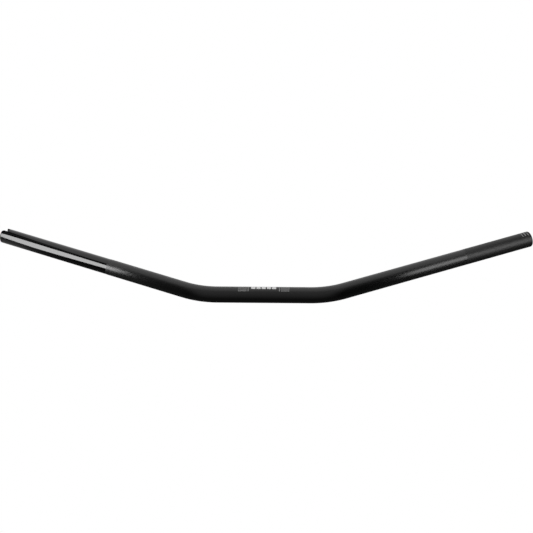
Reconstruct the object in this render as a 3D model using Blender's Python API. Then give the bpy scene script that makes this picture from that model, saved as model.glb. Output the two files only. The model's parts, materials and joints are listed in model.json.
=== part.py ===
"""A flat drag-style motorcycle handlebar: one bent tube with its printed and marked films.

The bar lies in the XY plane. The origin is on the tube's axis in the middle of the clamp zone,
+X runs along the clamp zone to the rider's left (the clutch side), +Y points back to the rider,
where the arms sweep, and +Z is up. Run it in Blender 4.5.
"""

from math import cos, pi, radians, sin, tan

import bmesh
import bpy
from mathutils import Matrix, Vector

MM = 0.001

# Driving dimensions of the tube; the width is between the middles of its two end faces
AXIS_WIDTH = 860 * MM
CLAMP_STRAIGHT = 144 * MM
BEND_RADIUS = 132 * MM
BEND_ANGLE = radians(24)
TUBE_RADIUS = 12.7 * MM
BORE_RADIUS = 10.2 * MM

# The throttle side: a slimmer smooth seat and a notch across its end
SEAT_LENGTH = 199 * MM
SEAT_RADIUS = 12.55 * MM
SEAT_STEP = 0.15 * MM
NOTCH_DEPTH = 11.8 * MM
NOTCH_WIDTH = 13.6 * MM
NOTCH_LEAN = radians(-24)
CUTTER_SIZE = 40 * MM

# The clutch side: a ring groove, then a rough grip zone
GRIP_LENGTH = 120 * MM
GRIP_RADIUS = 12.8 * MM
GROOVE_WIDTH = 1.2 * MM
GROOVE_RADIUS = 12.4 * MM

# Edges and facets
OUTER_CHAMFER = 0.9 * MM
THROTTLE_CHAMFER = 1.3 * MM
BORE_CHAMFER = 0.4 * MM
SECTION_SIDES = 36
BEND_STEPS = 12

# Films of ink: they float clear of the tube, so that no two solids touch
FILM_GAP = 0.3 * MM
FILM_THICKNESS = 0.15 * MM
MARK_SPAN = radians(24)

# The scale on each side of the middle: short ticks across the top, joined along the front
SCALE_START = 24 * MM
TICK_PITCH = 1.38 * MM
TICK_WIDTH = 0.55 * MM
TICK_COUNT = 12
SPINE_SPAN = radians(1.6)
FILM_ROWS = 8

# The plain centre mark: an outlined bar with a solid middle
MARK_LENGTH = 39 * MM
MARK_BLOCKS = 5
MARK_GAP = 1.7 * MM
MARK_BACK = radians(-30)
MARK_FRONT = radians(3)
BORDER_SPAN = radians(4)

# Trimming lines, each a distance in from the clutch end
TRIM_DISTANCES = (5 * MM, 10 * MM, 15 * MM)
TRIM_WIDTH = 0.8 * MM
TRIM_BACK = radians(-48)
TRIM_FRONT = radians(19)

# Lengths worked out from the driving dimensions
ARM_STRAIGHT = (AXIS_WIDTH / 2 - CLAMP_STRAIGHT / 2 - BEND_RADIUS * sin(BEND_ANGLE)) / cos(BEND_ANGLE)
BEND_LENGTH = BEND_RADIUS * BEND_ANGLE
HALF_LENGTH = CLAMP_STRAIGHT / 2 + BEND_LENGTH + ARM_STRAIGHT


def clear_scene():
    for thing in list(bpy.data.objects):
        bpy.data.objects.remove(thing, do_unlink=True)


def finish(name, colour, roughness, metallic):
    material = bpy.data.materials.new(name)
    material.use_nodes = True
    shader = material.node_tree.nodes["Principled BSDF"]
    shader.inputs["Base Color"].default_value = (*colour, 1)
    shader.inputs["Roughness"].default_value = roughness
    shader.inputs["Metallic"].default_value = metallic
    return material


def section_frame(along):
    """The matrix of the tube's section at a distance along the axis from the bar's middle, minus
    to the throttle side: local X is up, local Y points to the front and local Z runs along the bar."""
    side = 1 if along >= 0 else -1
    past_clamp = max(abs(along) - CLAMP_STRAIGHT / 2, 0)
    turned = min(past_clamp / BEND_RADIUS, BEND_ANGLE)
    past_bend = max(past_clamp - BEND_LENGTH, 0)
    x = min(abs(along), CLAMP_STRAIGHT / 2) + BEND_RADIUS * sin(turned) + past_bend * cos(turned)
    y = BEND_RADIUS * (1 - cos(turned)) + past_bend * sin(turned)
    heading = side * turned
    up = Vector((0, 0, 1))
    front = Vector((sin(heading), -cos(heading), 0))
    tangent = Vector((cos(heading), sin(heading), 0))
    frame = Matrix((up, front, tangent)).transposed().to_4x4()
    frame.translation = (side * x, y, 0)
    return frame


def surface_point(along, angle, radius):
    """A point on the tube, angle being measured from the top towards the front."""
    return section_frame(along) @ Vector((radius * cos(angle), radius * sin(angle), 0))


def outer_stations():
    """Distance along the axis and outer radius of each ring, from the throttle end to the clutch end."""
    seat_end = -HALF_LENGTH + SEAT_LENGTH
    grip_start = HALF_LENGTH - GRIP_LENGTH
    stations = [
        (-HALF_LENGTH, SEAT_RADIUS - THROTTLE_CHAMFER),
        (-HALF_LENGTH + THROTTLE_CHAMFER, SEAT_RADIUS),
        (seat_end, SEAT_RADIUS),
        (seat_end + SEAT_STEP, TUBE_RADIUS),
    ]
    for side in (-1, 1):
        for step in range(BEND_STEPS + 1):
            turned = (BEND_STEPS - step if side < 0 else step) / BEND_STEPS
            stations.append((side * (CLAMP_STRAIGHT / 2 + turned * BEND_LENGTH), TUBE_RADIUS))
    groove_start = grip_start - GROOVE_WIDTH
    wall = TUBE_RADIUS - GROOVE_RADIUS
    stations += [
        (groove_start, TUBE_RADIUS),
        (groove_start + wall, GROOVE_RADIUS),
        (grip_start - wall, GROOVE_RADIUS),
        (grip_start, GRIP_RADIUS),
        (HALF_LENGTH - OUTER_CHAMFER, GRIP_RADIUS),
        (HALF_LENGTH, GRIP_RADIUS - OUTER_CHAMFER),
    ]
    return stations


def bore_stations():
    """The rings of the bore, from the clutch end back to the throttle end."""
    stations = [
        (HALF_LENGTH, BORE_RADIUS + BORE_CHAMFER),
        (HALF_LENGTH - BORE_CHAMFER, BORE_RADIUS),
    ]
    for side in (1, -1):
        for step in range(BEND_STEPS + 1):
            turned = (BEND_STEPS - step if side > 0 else step) / BEND_STEPS
            stations.append((side * (CLAMP_STRAIGHT / 2 + turned * BEND_LENGTH), BORE_RADIUS))
    stations += [
        (-HALF_LENGTH + BORE_CHAMFER, BORE_RADIUS),
        (-HALF_LENGTH, BORE_RADIUS + BORE_CHAMFER),
    ]
    return stations


def add_object(name, bm, material, sharp_angle=radians(30)):
    mesh = bpy.data.meshes.new(name)
    bmesh.ops.recalc_face_normals(bm, faces=bm.faces)
    bm.to_mesh(mesh)
    bm.free()
    mesh.materials.append(material)
    mesh.shade_smooth()
    mesh.set_sharp_from_angle(angle=sharp_angle)
    thing = bpy.data.objects.new(name, mesh)
    bpy.context.collection.objects.link(thing)
    return thing


def add_bar_tube(material):
    """One hollow tube: rings down the outside, back through the bore, and faces between each pair."""
    bm = bmesh.new()
    rings = []
    for along, radius in outer_stations() + bore_stations():
        made = bmesh.ops.create_circle(
            bm, cap_ends=False, radius=radius, segments=SECTION_SIDES, matrix=section_frame(along)
        )
        rings.append(made["verts"])
    for ring, following in zip(rings, rings[1:] + rings[:1]):
        for side in range(SECTION_SIDES):
            beyond = (side + 1) % SECTION_SIDES
            bm.faces.new((ring[side], ring[beyond], following[beyond], following[side]))
    return add_object("bar_tube", bm, material)


def cut_notch(tube):
    """A slot through the wall, open at the throttle end, that keys a twist grip. It leans back from the top."""
    bm = bmesh.new()
    bmesh.ops.create_cube(bm, size=CUTTER_SIZE)
    cutter = add_object("notch_cutter", bm, tube.data.materials[0])
    cutter.hide_render = True
    cutter.display_type = "WIRE"
    centre_along = NOTCH_DEPTH - CUTTER_SIZE / 2
    lean = Matrix.Rotation(NOTCH_LEAN, 4, "Z")
    place = Matrix.Translation((CUTTER_SIZE / 2, 0, centre_along))
    place = place @ Matrix.Diagonal((1, NOTCH_WIDTH / CUTTER_SIZE, 1, 1))
    cutter.matrix_world = section_frame(-HALF_LENGTH) @ lean @ place
    notch = tube.modifiers.new("notch", "BOOLEAN")
    notch.operation = "DIFFERENCE"
    notch.solver = "EXACT"
    notch.object = cutter


def add_film(name, material, along_lines, angle_lines, is_inked, tube_radius=TUBE_RADIUS):
    """A curved film over the tube: the inked cells of a grid of lines along and around it."""
    radius = tube_radius + FILM_GAP + FILM_THICKNESS
    bm = bmesh.new()
    corners = {}

    def corner(i, j):
        if (i, j) not in corners:
            corners[i, j] = bm.verts.new(surface_point(along_lines[i], angle_lines[j], radius))
        return corners[i, j]

    for i in range(len(along_lines) - 1):
        for j in range(len(angle_lines) - 1):
            if is_inked(i, j):
                bm.faces.new((corner(i, j), corner(i + 1, j), corner(i + 1, j + 1), corner(i, j + 1)))
    film = add_object(name, bm, material)
    thicken = film.modifiers.new("ink", "SOLIDIFY")
    thicken.thickness = FILM_THICKNESS
    thicken.offset = -1 if film.data.polygons[0].normal.z > 0 else 1
    return film


def spread(low, high, count):
    return [low + (high - low) * step / count for step in range(count + 1)]


def add_scale(name, side, material):
    """Ticks outwards from the middle of the bar, all joined by a thin spine at their front ends.

    The first line stands apart: the place of the second tick is left empty.
    """
    along_lines = []
    for tick in [0] + list(range(2, TICK_COUNT)):
        start = SCALE_START + tick * TICK_PITCH
        along_lines += [side * start, side * (start + TICK_WIDTH)]
    angle_lines = spread(-MARK_SPAN, MARK_SPAN - SPINE_SPAN, FILM_ROWS) + [MARK_SPAN]
    add_film(name, material, along_lines, angle_lines, lambda i, j: i % 2 == 0 or j == FILM_ROWS)


def add_centre_mark(material):
    """A row of plain blocks, the middle one on the bar's middle, joined by a line along their back ends."""
    pitch = (MARK_LENGTH + MARK_GAP) / MARK_BLOCKS
    along_lines = []
    for block in range(MARK_BLOCKS):
        start = block * pitch - MARK_LENGTH / 2
        along_lines += [start, start + pitch - MARK_GAP]
    angle_lines = [MARK_BACK] + spread(MARK_BACK + BORDER_SPAN, MARK_FRONT, 5)
    add_film("centre_mark", material, along_lines, angle_lines, lambda i, j: i % 2 == 0 or j == 0)


def add_trim_lines(material):
    angle_lines = spread(TRIM_BACK, TRIM_FRONT, FILM_ROWS)
    for distance in TRIM_DISTANCES:
        middle = HALF_LENGTH - distance
        along_lines = [middle - TRIM_WIDTH / 2, middle + TRIM_WIDTH / 2]
        name = f"trim_line_{round(distance / MM)}mm"
        add_film(name, material, along_lines, angle_lines, lambda i, j: True, GRIP_RADIUS)


def main():
    clear_scene()
    coat = finish("satin_black_coat", (0.022, 0.022, 0.022), 0.42, 0)
    white_ink = finish("white_ink", (0.62, 0.62, 0.62), 0.5, 0)
    grey_ink = finish("grey_ink", (0.36, 0.36, 0.36), 0.55, 0)
    tube = add_bar_tube(coat)
    cut_notch(tube)
    add_scale("scale_throttle_side", -1, grey_ink)
    add_scale("scale_clutch_side", 1, grey_ink)
    add_centre_mark(white_ink)
    add_trim_lines(grey_ink)


main()
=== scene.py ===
"""The looks of a flat motorcycle handlebar: a steel tube, its powder coat and its printed marks."""

import json
from math import atan2, cos, hypot, pi, radians, sin

import bmesh
import bpy
from mathutils import Matrix, Vector


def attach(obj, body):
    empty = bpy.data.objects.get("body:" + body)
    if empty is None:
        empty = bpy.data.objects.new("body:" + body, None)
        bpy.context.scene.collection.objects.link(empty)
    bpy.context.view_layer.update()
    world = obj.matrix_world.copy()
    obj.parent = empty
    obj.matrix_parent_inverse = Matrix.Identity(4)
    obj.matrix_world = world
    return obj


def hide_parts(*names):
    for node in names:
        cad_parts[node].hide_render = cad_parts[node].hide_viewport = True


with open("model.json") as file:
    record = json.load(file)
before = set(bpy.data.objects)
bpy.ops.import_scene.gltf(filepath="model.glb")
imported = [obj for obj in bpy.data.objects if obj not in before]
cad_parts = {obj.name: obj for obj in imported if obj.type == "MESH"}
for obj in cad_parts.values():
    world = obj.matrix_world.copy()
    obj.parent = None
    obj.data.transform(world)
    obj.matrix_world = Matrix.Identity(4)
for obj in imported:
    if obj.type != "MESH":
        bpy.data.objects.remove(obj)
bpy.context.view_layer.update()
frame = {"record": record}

MM = 0.001
MOUNTS = {mount["name"]: mount for mount in frame["record"]["mounts"]}

# ---------------------------------------------------------------- the bar's path, from the frame
END_X, END_Y, _ = MOUNTS["clutch_end_face"]["pos_m"]
BEND_ANGLE = atan2(MOUNTS["clutch_end_face"]["axis"][1], MOUNTS["clutch_end_face"]["axis"][0])
BEND_RADIUS = 132 * MM
ARM_STRAIGHT = (END_Y - BEND_RADIUS * (1 - cos(BEND_ANGLE))) / sin(BEND_ANGLE)
BEND_START = END_X - BEND_RADIUS * sin(BEND_ANGLE) - ARM_STRAIGHT * cos(BEND_ANGLE)
BEND_LENGTH = BEND_RADIUS * BEND_ANGLE
HALF_LENGTH = BEND_START + BEND_LENGTH + ARM_STRAIGHT

# ---------------------------------------------------------------- the tube's section
COAT_RADIUS = 12.7 * MM
STEEL_RADIUS = 12.55 * MM
UNDER_COAT = 0.01 * MM
BORE_RADIUS = 10.2 * MM
SIDES = 144
BEND_STEPS = 24
RING_PITCH = 12 * MM
RING_MARGIN = 0.3 * MM
SEAT_LENGTH = 199 * MM
EDGE_ROUND = 1.0 * MM
THROTTLE_ROUND = 1.9 * MM
BORE_ROUND = 0.4 * MM

# The keying slot, open at the throttle end, leaning back from the top
NOTCH_DEPTH = 11.8 * MM
NOTCH_WIDTH = 13.6 * MM
NOTCH_LEAN = radians(-24)
NOTCH_LIP = 5.4 * MM
NOTCH_CORNER = 1.9 * MM
CUTTER_HEIGHT = 40 * MM
QUARTER_STEPS = 8

# The clutch end: a ring groove, then diamond knurling
GRIP_LENGTH = 120 * MM
GROOVE_WIDTH = 1.2 * MM
GROOVE_DEPTH = 0.1 * MM
KNURL_CREST = 12.78 * MM
KNURL_ROOT = 12.68 * MM
KNURL_COUNT = 64
KNURL_STEP = 1.05 * MM

# Ink: a thin layer on the coat
INK_GAP = 0.004 * MM
INK_THICKNESS = 0.03 * MM
INK_STEP = radians(1.5)

SHARP_ANGLE = radians(35)


def section_frame(along):
    """The tube's section at a distance along the bar: local X is up, Y is to the front, Z along the bar."""
    side = 1 if along >= 0 else -1
    past_clamp = max(abs(along) - BEND_START, 0)
    turned = min(past_clamp / BEND_RADIUS, BEND_ANGLE)
    past_bend = max(past_clamp - BEND_LENGTH, 0)
    x = min(abs(along), BEND_START) + BEND_RADIUS * sin(turned) + past_bend * cos(turned)
    y = BEND_RADIUS * (1 - cos(turned)) + past_bend * sin(turned)
    heading = side * turned
    up = Vector((0, 0, 1))
    front = Vector((sin(heading), -cos(heading), 0))
    tangent = Vector((cos(heading), sin(heading), 0))
    place = Matrix((up, front, tangent)).transposed().to_4x4()
    place.translation = (side * x, y, 0)
    return place


def unbent(point):
    """Where a point of the bar would be if the bar were straight: along, front and up, in metres."""
    side = 1 if point.x >= 0 else -1
    x, y = abs(point.x), point.y
    turned = atan2(x - BEND_START, BEND_RADIUS - y)
    if x <= BEND_START:
        return Vector((side * x, -y, point.z))
    if turned < BEND_ANGLE:
        outwards = hypot(x - BEND_START, BEND_RADIUS - y) - BEND_RADIUS
        return Vector((side * (BEND_START + turned * BEND_RADIUS), outwards, point.z))
    from_bend = Vector((x - BEND_START, y - BEND_RADIUS, 0))
    past_bend = from_bend.x * cos(BEND_ANGLE) + from_bend.y * sin(BEND_ANGLE)
    outwards = from_bend.x * sin(BEND_ANGLE) - from_bend.y * cos(BEND_ANGLE) - BEND_RADIUS
    return Vector((side * (BEND_START + BEND_LENGTH + past_bend), outwards, point.z))


# ---------------------------------------------------------------- meshes
def mesh_object(name, bm, materials):
    """A smooth-shaded object from a bmesh, which is freed."""
    bmesh.ops.recalc_face_normals(bm, faces=bm.faces)
    mesh = bpy.data.meshes.new(name)
    bm.to_mesh(mesh)
    bm.free()
    for material in materials:
        mesh.materials.append(material)
    mesh.shade_smooth()
    mesh.set_sharp_from_angle(angle=SHARP_ANGLE)
    thing = bpy.data.objects.new(name, mesh)
    bpy.context.scene.collection.objects.link(thing)
    return thing


def store_unbent(thing):
    """Straightened positions and the direction round the tube, so that a material follows the bends."""
    mesh = thing.data
    spots = mesh.attributes.new("unbent", "FLOAT_VECTOR", "POINT")
    straight = [unbent(vertex.co) for vertex in mesh.vertices]
    spots.data.foreach_set("vector", [value for spot in straight for value in spot])
    around = mesh.attributes.new("around", "FLOAT_VECTOR", "POINT")
    turns = [section_frame(spot.x).to_3x3() @ Vector((-spot.y, spot.z, 0)) for spot in straight]
    around.data.foreach_set("vector", [value for turn in turns for value in turn.normalized()])


def add_ring(bm, along, radii):
    """A ring of points round the bar, evenly spaced, each at its own radius."""
    place = section_frame(along)
    ring = []
    for side, radius in enumerate(radii):
        angle = 2 * pi * side / len(radii)
        ring.append(bm.verts.new(place @ Vector((radius * cos(angle), radius * sin(angle), 0))))
    return ring


def skin(bm, ring, following):
    """Four-sided faces between two closed loops with the same number of points."""
    for side in range(len(ring)):
        beyond = (side + 1) % len(ring)
        bm.faces.new((ring[side], ring[beyond], following[beyond], following[side]))


def closed_tube(bm, stations, sides=SIDES):
    """Rings at each (distance along, radius), skinned in turn and closed back to the first."""
    rings = [add_ring(bm, along, [radius] * sides) for along, radius in stations]
    for ring, following in zip(rings, rings[1:] + rings[:1]):
        skin(bm, ring, following)


def fillet(along, radius, size, start, turn, steps=5):
    """Stations on a quarter circle in the plane of distance and radius, from one angle to another."""
    return [
        (along + size * cos(start + turn * step / steps), radius + size * sin(start + turn * step / steps))
        for step in range(steps + 1)
    ]


def run(radius, start, end):
    """Stations at one radius, close together in the bends and at both ends, in either direction."""
    corners = [-BEND_START - BEND_LENGTH, -BEND_START, BEND_START, BEND_START + BEND_LENGTH]
    low, high = sorted((start, end))
    stops = [low, low + RING_MARGIN]
    stops += [corner for corner in corners if low < corner < high] + [high - RING_MARGIN, high]
    distances = [low]
    for near_stop, far_stop in zip(stops, stops[1:]):
        in_bend = BEND_START < abs((near_stop + far_stop) / 2) < BEND_START + BEND_LENGTH
        steps = BEND_STEPS if in_bend else max(1, round((far_stop - near_stop) / RING_PITCH))
        distances += [near_stop + (far_stop - near_stop) * step / steps for step in range(1, steps + 1)]
    stations = [(along, radius) for along in distances[1:-1]]
    return stations if start < end else stations[::-1]


def add_steel_tube(seat, bore, coated_end):
    """The tube as it is under the coat, with its rims rounded and the keying slot cut."""
    inner = BORE_RADIUS + BORE_ROUND
    throttle_rim = -HALF_LENGTH + THROTTLE_ROUND
    clutch_rim = HALF_LENGTH - EDGE_ROUND
    rim_radius = STEEL_RADIUS - THROTTLE_ROUND
    stations = fillet(throttle_rim, rim_radius, THROTTLE_ROUND, pi, -pi / 2, QUARTER_STEPS)
    stations += run(STEEL_RADIUS, throttle_rim, clutch_rim)
    stations += fillet(clutch_rim, STEEL_RADIUS - EDGE_ROUND, EDGE_ROUND, pi / 2, -pi / 2)
    stations += fillet(HALF_LENGTH - BORE_ROUND, inner, BORE_ROUND, 0, -pi / 2)
    stations += run(BORE_RADIUS, HALF_LENGTH - BORE_ROUND, -HALF_LENGTH + BORE_ROUND)
    stations += fillet(-HALF_LENGTH + BORE_ROUND, inner, BORE_ROUND, -pi / 2, -pi / 2)
    bm = bmesh.new()
    closed_tube(bm, stations)
    tube = mesh_object("steel_tube", bm, [seat, bore, coated_end])
    cut_notch(tube, seat)
    paint_steel_tube(tube)
    store_unbent(tube)
    return tube


def cut_notch(tube, material):
    """A slot through the wall, open at the throttle end: rounded lips, straight sides, round corners."""
    side = NOTCH_WIDTH / 2
    turns = [pi / 2 * step / QUARTER_STEPS for step in range(QUARTER_STEPS + 1)]
    half = [(side + NOTCH_LIP, -NOTCH_LIP)]
    half += [(side + NOTCH_LIP * (1 - sin(turn)), NOTCH_LIP * (1 - cos(turn))) for turn in turns]
    half += [
        (side - NOTCH_CORNER * (1 - cos(turn)), NOTCH_DEPTH - NOTCH_CORNER * (1 - sin(turn)))
        for turn in turns
    ]
    outline = half + [(-across, along) for across, along in reversed(half)]
    bm = bmesh.new()
    low = [bm.verts.new((0, across, along)) for across, along in outline]
    high = [bm.verts.new((CUTTER_HEIGHT, across, along)) for across, along in outline]
    bm.faces.new(low)
    bm.faces.new(high[::-1])
    skin(bm, low, high)
    cutter = mesh_object("notch_cutter", bm, [material])
    cutter.matrix_world = section_frame(-HALF_LENGTH) @ Matrix.Rotation(NOTCH_LEAN, 4, "Z")
    notch = tube.modifiers.new("notch", "BOOLEAN")
    notch.object = cutter
    notch.operation = "DIFFERENCE"
    notch.solver = "EXACT"
    bpy.context.view_layer.update()
    cut = bpy.data.meshes.new_from_object(tube.evaluated_get(bpy.context.evaluated_depsgraph_get()))
    tube.modifiers.clear()
    tube.data = cut
    bpy.data.objects.remove(cutter)


def paint_steel_tube(tube):
    """Slot 0 is the smooth black outside, slot 1 the bore, slot 2 the coated clutch-end rim."""
    tube.data.shade_smooth()
    tube.data.set_sharp_from_angle(angle=SHARP_ANGLE)
    for face in tube.data.polygons:
        spot = unbent(face.center)
        if hypot(spot.y, spot.z) < BORE_RADIUS + BORE_ROUND / 4:
            face.material_index = 1
        elif spot.x > 0:
            face.material_index = 2
        else:
            face.material_index = 0


def add_powder_coat(coat, grip):
    """The coat as a thin sleeve: a rolled edge at the seat, the ring groove, the knurling, the rim."""
    seat_edge = SEAT_LENGTH - HALF_LENGTH
    grip_start = HALF_LENGTH - GRIP_LENGTH
    groove_start = grip_start - GROOVE_WIDTH
    inside = STEEL_RADIUS + UNDER_COAT
    thickness = COAT_RADIUS - inside
    rim = HALF_LENGTH - EDGE_ROUND
    stations = fillet(seat_edge + thickness, inside, thickness, pi, -pi / 2)
    stations += run(COAT_RADIUS, seat_edge + thickness, groove_start)
    stations += fillet(groove_start, COAT_RADIUS - GROOVE_DEPTH, GROOVE_DEPTH, pi / 2, -pi / 2)
    stations += fillet(grip_start, COAT_RADIUS - GROOVE_DEPTH, GROOVE_DEPTH, pi, -pi / 2)
    bm = bmesh.new()
    sides = 2 * KNURL_COUNT
    rings = [add_ring(bm, along, [radius] * sides) for along, radius in stations]
    for ring, following in zip(rings, rings[1:]):
        skin(bm, ring, following)
    knurled = add_knurl(bm, rings[-1], grip_start + GROOVE_DEPTH, rim)
    tail = fillet(rim, inside, KNURL_ROOT - inside, pi / 2, -pi / 2)
    tail += run(inside, rim, seat_edge + thickness) + [(seat_edge + thickness, inside)]
    ends = [add_ring(bm, along, [radius] * sides) for along, radius in tail]
    skin(bm, knurled, ends[0])
    for ring, following in zip(ends, ends[1:] + rings[:1]):
        skin(bm, ring, following)
    sleeve = mesh_object("powder_coat", bm, [coat, grip])
    store_unbent(sleeve)
    for face in sleeve.data.polygons:
        face.material_index = 1 if unbent(face.center).x > grip_start else 0
    return sleeve


def add_knurl(bm, first, start, end):
    """Four-sided points between two crossing sets of grooves, split along them. Returns the last ring."""
    rows = round((end - start) / KNURL_STEP)
    before = first
    for row in range(1, rows + 1):
        radii = [KNURL_CREST if (row + side) % 2 else KNURL_ROOT for side in range(len(first))]
        if row == rows:
            radii = [KNURL_ROOT] * len(first)
        ring = add_ring(bm, start + (end - start) * row / rows, radii)
        for side in range(len(ring)):
            beyond = (side + 1) % len(ring)
            corners = (before[side], before[beyond], ring[beyond], ring[side])
            groove_first = (row - 1 + side) % 2 == 0
            a, b, c, d = corners if groove_first else corners[1:] + corners[:1]
            bm.faces.new((a, b, c))
            bm.faces.new((a, c, d))
        before = ring
    return before


def add_ink(name, patches, material, coat_radius=COAT_RADIUS):
    """Curved slabs on the coat, one for each (start, end, back angle, front angle) from the top."""
    bm = bmesh.new()
    low = coat_radius + INK_GAP
    high = low + INK_THICKNESS
    for start, end, back, front in patches:
        steps = max(1, round((front - back) / INK_STEP))
        strips = []
        for step in range(steps + 1):
            angle = back + (front - back) * step / steps
            strips.append([
                bm.verts.new(section_frame(along) @ Vector((radius * cos(angle), radius * sin(angle), 0)))
                for along, radius in ((start, low), (end, low), (end, high), (start, high))
            ])
        for near, far in zip(strips, strips[1:]):
            skin(bm, near, far)
        bm.faces.new(strips[0])
        bm.faces.new(strips[-1])
    ink = mesh_object(name, bm, [material])
    store_unbent(ink)
    return ink


# ---------------------------------------------------------------- node helpers
def node(tree, kind, inputs=(), **settings):
    made = tree.nodes.new(kind)
    for name, value in settings.items():
        setattr(made, name, value)
    for key, value in dict(inputs).items():
        if isinstance(value, bpy.types.NodeSocket):
            tree.links.new(value, made.inputs[key])
        else:
            made.inputs[key].default_value = value
    return made


def calc(tree, operation, *values):
    return node(tree, "ShaderNodeMath", dict(enumerate(values)), operation=operation).outputs[0]


def between(tree, value, low, high, to_low=0.0, to_high=1.0):
    """The value carried from one range to another, and held inside it."""
    inputs = dict(enumerate((value, low, high, to_low, to_high)))
    return node(tree, "ShaderNodeMapRange", inputs).outputs[0]


def blend(tree, amount, first, second):
    """A mix of two greys or colours."""
    mixer = node(tree, "ShaderNodeMix", {0: amount}, data_type="RGBA")
    for socket, value in ((mixer.inputs[6], first), (mixer.inputs[7], second)):
        if isinstance(value, bpy.types.NodeSocket):
            tree.links.new(value, socket)
        else:
            socket.default_value = (value, value, value, 1) if isinstance(value, float) else (*value, 1)
    return mixer.outputs[2]


def noise(tree, spots, scale, stretch=(1, 1, 1), detail=2.0, roughness=0.5):
    stretched = node(tree, "ShaderNodeVectorMath", {0: spots, 1: stretch}, operation="MULTIPLY").outputs[0]
    inputs = {"Vector": stretched, "Scale": scale, "Detail": detail, "Roughness": roughness}
    return node(tree, "ShaderNodeTexNoise", inputs).outputs[0]


def bump(tree, height, depth, under=None):
    inputs = {"Height": height, "Distance": depth, "Strength": 1.0}
    if under is not None:
        inputs["Normal"] = under
    return node(tree, "ShaderNodeBump", inputs).outputs[0]


def new_material(name):
    """A material, its tree, the straightened position and distance along in millimetres, the shader."""
    material = bpy.data.materials.new(name)
    material.use_nodes = True
    tree = material.node_tree
    metres = node(tree, "ShaderNodeAttribute", attribute_name="unbent").outputs["Vector"]
    spots = node(tree, "ShaderNodeVectorMath", {0: metres, "Scale": 1 / MM}, operation="SCALE").outputs[0]
    parts = node(tree, "ShaderNodeSeparateXYZ", {0: spots})
    return material, tree, spots, parts.outputs[0], tree.nodes["Principled BSDF"]


def dress(tree, shader, colour, roughness, normal):
    tree.links.new(colour, shader.inputs["Base Color"])
    tree.links.new(roughness, shader.inputs["Roughness"])
    tree.links.new(normal, shader.inputs["Normal"])


def near(tree, along, place, reach):
    """1 at a distance along the bar, fading to 0 at the reach, both in millimetres."""
    away = calc(tree, "ABSOLUTE", calc(tree, "SUBTRACT", along, place))
    return between(tree, away, 0.0, reach, 1.0, 0.0)


# ---------------------------------------------------------------- finishes
def powder_coat_finish(name, dullness, lengthwise_grain):
    """Semi-matt black powder coat: fine grain, a faint orange peel, handling smudges, rubbed edges.

    The lengthwise grain draws its highlight out along the bar.
    """
    material, tree, spots, along, shader = new_material(name)
    grain = noise(tree, spots, 2.2, detail=3.0, roughness=0.65)
    peel = noise(tree, spots, 0.45, detail=1.0)
    smudge = noise(tree, spots, 0.03, stretch=(1, 2.2, 2.2), detail=3.0)
    edge = calc(
        tree, "MAXIMUM",
        near(tree, along, (SEAT_LENGTH - HALF_LENGTH) / MM, 0.7),
        near(tree, along, HALF_LENGTH / MM, 1.1),
    )
    rubbed = calc(tree, "MULTIPLY", edge, between(tree, noise(tree, spots, 0.9, detail=4.0), 0.42, 0.6))
    colour = blend(tree, between(tree, grain, 0.3, 0.7), 0.0032, 0.0058)
    colour = blend(tree, calc(tree, "MULTIPLY", rubbed, 0.6), colour, 0.06)
    roughness = between(tree, smudge, 0.3, 0.7, dullness, dullness + 0.025)
    roughness = calc(tree, "ADD", roughness, between(tree, grain, 0.3, 0.7, 0.0, 0.02))
    roughness = calc(tree, "SUBTRACT", roughness, calc(tree, "MULTIPLY", rubbed, 0.08))
    normal = bump(tree, grain, 0.0005 * MM, bump(tree, peel, 0.002 * MM))
    dress(tree, shader, colour, roughness, normal)
    shader.inputs["IOR"].default_value = 1.5
    shader.inputs["Anisotropic"].default_value = lengthwise_grain
    around = node(tree, "ShaderNodeAttribute", attribute_name="around").outputs["Vector"]
    tree.links.new(around, shader.inputs["Tangent"])
    return material


def seat_finish():
    """Hard smooth black on ground steel: fine turning lines round the tube, dust and a few fine scuffs."""
    material, tree, spots, along, shader = new_material("gloss_black_seat")
    turning = noise(tree, spots, 1.0, stretch=(9, 0.05, 0.05), detail=3.0)
    dust = noise(tree, spots, 1.6, detail=5.0, roughness=0.7)
    slide = noise(tree, spots, 1.0, stretch=(0.02, 2.5, 2.5), detail=2.0)
    scuff = calc(tree, "MULTIPLY", between(tree, slide, 0.66, 0.72), between(tree, dust, 0.45, 0.6))
    rim = near(tree, along, -HALF_LENGTH / MM, 0.8)
    rubbed = calc(tree, "MULTIPLY", rim, between(tree, dust, 0.42, 0.58))
    colour = blend(tree, between(tree, dust, 0.55, 0.8), 0.0020, 0.0045)
    colour = blend(tree, calc(tree, "MULTIPLY", rubbed, 0.7), colour, 0.10)
    roughness = between(tree, turning, 0.3, 0.7, 0.05, 0.09)
    roughness = calc(tree, "ADD", roughness, between(tree, dust, 0.5, 0.8, 0.0, 0.06))
    roughness = calc(tree, "ADD", roughness, calc(tree, "MULTIPLY", calc(tree, "ADD", scuff, rubbed), 0.15))
    normal = bump(tree, turning, 0.0004 * MM, bump(tree, scuff, 0.0006 * MM))
    dress(tree, shader, colour, roughness, normal)
    shader.inputs["IOR"].default_value = 1.5
    return material


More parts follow.
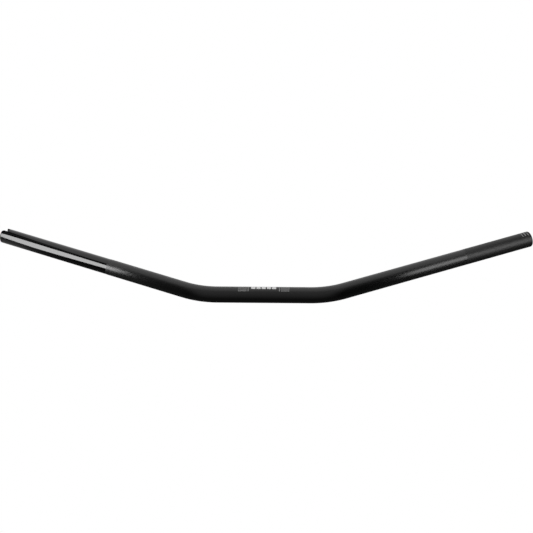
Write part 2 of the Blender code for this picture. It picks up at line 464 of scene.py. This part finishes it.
def bore_finish():
    """The inside of the tube: dull drawn steel, scored lengthways, with a thin uneven film of oxide."""
    material, tree, spots, _, shader = new_material("bare_bore")
    drawing = noise(tree, spots, 1.0, stretch=(0.03, 3.5, 3.5), detail=4.0, roughness=0.6)
    film = noise(tree, spots, 0.12, detail=5.0, roughness=0.65)
    colour = blend(tree, between(tree, drawing, 0.3, 0.7), 0.16, 0.30)
    colour = blend(tree, between(tree, film, 0.45, 0.7), colour, (0.075, 0.062, 0.052))
    metal = between(tree, film, 0.45, 0.75, 0.95, 0.45)
    tree.links.new(metal, shader.inputs["Metallic"])
    roughness = between(tree, drawing, 0.3, 0.7, 0.34, 0.46)
    roughness = calc(tree, "ADD", roughness, between(tree, film, 0.4, 0.7, 0.0, 0.25))
    dress(tree, shader, colour, roughness, bump(tree, drawing, 0.006 * MM))
    return material


def ink_finish(name, grey, wear):
    """Pad-printed ink: thin, slightly mottled, with pinholes where the coat's grain shows through."""
    material, tree, spots, _, shader = new_material(name)
    mottle = noise(tree, spots, 0.8, detail=3.0)
    pinholes = between(tree, noise(tree, spots, 5.0, detail=4.0, roughness=0.7), 0.6, 0.68)
    colour = blend(tree, between(tree, mottle, 0.3, 0.7), grey * 0.9, grey)
    colour = blend(tree, calc(tree, "MULTIPLY", pinholes, wear), colour, 0.02)
    roughness = between(tree, mottle, 0.3, 0.7, 0.42, 0.52)
    dress(tree, shader, colour, roughness, bump(tree, mottle, 0.002 * MM))
    return material


# ---------------------------------------------------------------- the object
coat_finish = powder_coat_finish("satin_black_coat", 0.19, 1.0)
grip_finish = powder_coat_finish("knurled_black_coat", 0.42, 0.5)
tube = add_steel_tube(seat_finish(), bore_finish(), grip_finish)
coat = add_powder_coat(coat_finish, grip_finish)
grey_ink = ink_finish("grey_ink", 0.22, 0.5)
bright_ink = ink_finish("bright_grey_ink", 0.42, 0.4)
white_ink = ink_finish("white_ink", 0.80, 0.4)

for piece, slot in ((tube, "gloss_black_seat"), (coat, "satin_black_coat")):
    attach(piece, "root")
    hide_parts("bar_tube")


def print_ink(name, patches, material, replaced, coat_radius=COAT_RADIUS):
    """A printed mark that stands in for a CAD node."""
    ink = add_ink(name, patches, material, coat_radius)
    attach(ink, "root")
    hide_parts(replaced)


# The clamp scales: a bright first line, an empty place, then ticks joined by a spine at their front ends
SCALE_START = 24 * MM
SCALE_SPAN = radians(24)
TICK_PITCH = 1.38 * MM
TICK_WIDTH = 0.6 * MM
FIRST_WIDTH = 0.8 * MM
TICK_COUNT = 12
SCALE_END = SCALE_START + (TICK_COUNT - 1) * TICK_PITCH + TICK_WIDTH
SPINE_SPAN = radians(5)
for name, side in (("scale_throttle_side", -1), ("scale_clutch_side", 1)):
    starts = [SCALE_START + tick * TICK_PITCH for tick in range(2, TICK_COUNT)]
    spine_back = SCALE_SPAN - SPINE_SPAN
    patches = [(side * start, side * (start + TICK_WIDTH), -SCALE_SPAN, spine_back) for start in starts]
    patches.append((side * starts[0], side * SCALE_END, spine_back, SCALE_SPAN))
    print_ink("printed_" + name, patches, grey_ink, name)
    first_line = (side * SCALE_START, side * (SCALE_START + FIRST_WIDTH), -SCALE_SPAN, SCALE_SPAN)
    print_ink(f"printed_{name}_start", [first_line], bright_ink, name)

# The centre mark: plain blocks joined by a line along their back ends
MARK_LENGTH = 39 * MM
MARK_BLOCKS = 5
MARK_GAP = 1.7 * MM
MARK_PITCH = (MARK_LENGTH + MARK_GAP) / MARK_BLOCKS
MARK_BACK, MARK_FRONT = radians(-30), radians(3)
MARK_LINE_SPAN = radians(4)
patches = [(-MARK_LENGTH / 2, MARK_LENGTH / 2, MARK_BACK, MARK_BACK + MARK_LINE_SPAN)]
for block in range(MARK_BLOCKS):
    start = block * MARK_PITCH - MARK_LENGTH / 2
    patches.append((start, start + MARK_PITCH - MARK_GAP, MARK_BACK + MARK_LINE_SPAN, MARK_FRONT))
print_ink("printed_centre_mark", patches, white_ink, "centre_mark")

# The trim lines at the clutch end, for cutting the bar shorter
TRIM_WIDTH = 0.8 * MM
TRIM_BACK, TRIM_FRONT = radians(-48), radians(19)
for distance in (5, 10, 15):
    middle = HALF_LENGTH - distance * MM
    name = f"trim_line_{distance}mm"
    patch = (middle - TRIM_WIDTH / 2, middle + TRIM_WIDTH / 2, TRIM_BACK, TRIM_FRONT)
    print_ink("printed_" + name, [patch], bright_ink, name, KNURL_CREST)

# ---------------------------------------------------------------- stage, light and camera
FLOOR_HEIGHT = -13.5 * MM
FLOOR_HALF = 40.0

CAMERA_AZIMUTH = 1.289
CAMERA_ELEVATION = 39.152
CAMERA_ROLL = -0.366
CAMERA_DISTANCE = 2.5
CAMERA_LENS = 105.663
CAMERA_TARGET = Vector((2.97, 70.31, 0)) * MM

# Outlines of the two shaped softboxes, outwards and up in the plane of each lamp, in metres
LAMP_AZIMUTH = 60
LAMP_TURN = 0.586
LAMP_ELEVATION = 22
LAMP_DISTANCE = 0.8
LAMP_AIM = Vector((0.3, 0.08, 0))
LEFT_OUTLINE = [
    (-0.07, 0.385), (0.23, 0.375), (-0.05, -0.44), (-0.105, -0.40),
    (-0.19, -0.225), (-0.222, -0.13), (-0.175, 0.085),
]
RIGHT_OUTLINE = [
    (-0.132, 0.35), (0.23, 0.35), (0.1, -0.19), (-0.2, -0.19),
    (-0.288, -0.22), (-0.276, -0.133), (-0.231, 0.07),
]
LEFT_RADIANCE = 10.8
RIGHT_RADIANCE = 4.5

# The panel overhead: half its width, its front and back edges, its height
OVERHEAD_HALF = 0.685
OVERHEAD_FRONT, OVERHEAD_BACK = 0.1, 0.95
OVERHEAD_HEIGHT = 0.8
OVERHEAD_RADIANCE = 1.0


def pointing(azimuth, elevation):
    """Unit vector; azimuth 0 is towards the front (-Y), growing towards +X. In degrees."""
    flat = cos(radians(elevation))
    return Vector((sin(radians(azimuth)) * flat, -cos(radians(azimuth)) * flat, sin(radians(elevation))))


def add_floor():
    """A pure white floor that only the camera sees."""
    mesh = bpy.data.meshes.new("floor")
    signs = ((-1, -1), (1, -1), (1, 1), (-1, 1))
    corners = [(x * FLOOR_HALF, y * FLOOR_HALF, FLOOR_HEIGHT) for x, y in signs]
    mesh.from_pydata(corners, [], [(0, 1, 2, 3)])
    floor = bpy.data.objects.new("floor", mesh)
    bpy.context.scene.collection.objects.link(floor)
    material = bpy.data.materials.new("white_sweep")
    material.use_nodes = True
    shader = material.node_tree.nodes["Principled BSDF"]
    shader.inputs["Base Color"].default_value = (0, 0, 0, 1)
    shader.inputs["Specular IOR Level"].default_value = 0
    shader.inputs["Emission Color"].default_value = (1, 1, 1, 1)
    shader.inputs["Emission Strength"].default_value = 1.0
    mesh.materials.append(material)
    floor.visible_glossy = False
    floor.visible_diffuse = False
    floor.visible_shadow = False


def add_panel(name, corners, radiance):
    """A flat diffuser that glows evenly on both sides; the corners go round it."""
    mesh = bpy.data.meshes.new(name)
    mesh.from_pydata(corners, [], [range(len(corners))])
    material = bpy.data.materials.new(name)
    material.use_nodes = True
    shader = material.node_tree.nodes["Principled BSDF"]
    shader.inputs["Base Color"].default_value = (0, 0, 0, 1)
    shader.inputs["Emission Color"].default_value = (1, 1, 1, 1)
    shader.inputs["Emission Strength"].default_value = radiance
    mesh.materials.append(material)
    panel = bpy.data.objects.new(name, mesh)
    bpy.context.scene.collection.objects.link(panel)
    panel.visible_camera = False
    panel.visible_shadow = False


def softbox_corners(side, outline):
    """Corners in the room for an outline of (outwards, up) in the plane of the lamp on that side."""
    way = pointing(side * LAMP_AZIMUTH + LAMP_TURN, LAMP_ELEVATION)
    middle = Vector((side * LAMP_AIM.x, LAMP_AIM.y, LAMP_AIM.z)) + way * LAMP_DISTANCE
    outwards = side * Vector((0, 0, 1)).cross(way).normalized()
    upwards = side * way.cross(outwards)
    return [middle + outwards * across + upwards * up for across, up in outline]


def add_overhead():
    corners = [
        (side * OVERHEAD_HALF, y, OVERHEAD_HEIGHT)
        for side, y in ((-1, OVERHEAD_FRONT), (1, OVERHEAD_FRONT), (1, OVERHEAD_BACK), (-1, OVERHEAD_BACK))
    ]
    add_panel("overhead", corners, OVERHEAD_RADIANCE)


def add_world():
    """What the bar mirrors beside the lamps. The camera itself sees plain white.

    A white wall stands behind, a pale card in front, growing brighter upwards, and a grey card low on the
    throttle side, square to that arm. A little light comes back from the floor.
    """
    world = bpy.data.worlds.new("studio")
    world.use_nodes = True
    bpy.context.scene.world = world
    tree = world.node_tree
    tree.nodes.clear()
    heading = node(tree, "ShaderNodeTexCoord").outputs["Generated"]
    across, backwards, upwards = node(tree, "ShaderNodeSeparateXYZ", {0: heading}).outputs
    white_back = between(tree, backwards, 0.68, 0.76)
    card = between(tree, calc(tree, "ABSOLUTE", across), 0.32, 0.56, 1.0, 0.0)
    card = calc(tree, "MULTIPLY", card, between(tree, upwards, -0.3, 0.85, 0.02, 0.42))
    card = calc(tree, "MULTIPLY", card, between(tree, backwards, 0.1, 0.35, 1.0, 0.0))
    below = between(tree, upwards, -0.2, -0.7, 0.0, 0.05)
    throttle_arm = (-cos(BEND_ANGLE), sin(BEND_ANGLE), 0)
    along_arm = node(tree, "ShaderNodeVectorMath", {0: heading, 1: throttle_arm}, operation="DOT_PRODUCT")
    low_card = between(tree, along_arm.outputs["Value"], 0.463, 0.470, 0.0, 0.42)
    low_card = calc(tree, "MULTIPLY", low_card, between(tree, upwards, -0.12, -0.26))
    seen = white_back
    for source in (card, below, low_card):
        seen = calc(tree, "MAXIMUM", seen, source)
    lit = node(tree, "ShaderNodeBackground", {"Color": (1, 1, 1, 1), "Strength": seen})
    plain = node(tree, "ShaderNodeBackground", {"Color": (1, 1, 1, 1), "Strength": 1.0})
    camera_ray = node(tree, "ShaderNodeLightPath").outputs["Is Camera Ray"]
    mix = node(tree, "ShaderNodeMixShader", {0: camera_ray, 1: lit.outputs[0], 2: plain.outputs[0]})
    node(tree, "ShaderNodeOutputWorld", {0: mix.outputs[0]})


def add_camera():
    """Raised 39 degrees, nearly straight in front, with a long lens."""
    towards = pointing(CAMERA_AZIMUTH, CAMERA_ELEVATION)
    camera = bpy.data.cameras.new("camera")
    camera.sensor_width = 36
    camera.lens = CAMERA_LENS
    camera.clip_end = 200
    holder = bpy.data.objects.new("camera", camera)
    place = Matrix.Translation(CAMERA_TARGET + towards * CAMERA_DISTANCE)
    facing = towards.to_track_quat("Z", "Y").to_matrix().to_4x4()
    holder.matrix_world = place @ facing @ Matrix.Rotation(radians(CAMERA_ROLL), 4, "Z")
    bpy.context.scene.collection.objects.link(holder)
    bpy.context.scene.camera = holder


add_floor()
add_world()
add_panel("softbox_left", softbox_corners(-1, LEFT_OUTLINE), LEFT_RADIANCE)
add_panel("softbox_right", softbox_corners(1, RIGHT_OUTLINE), RIGHT_RADIANCE)
add_overhead()
add_camera()
bpy.context.scene.view_settings.view_transform = "Standard"
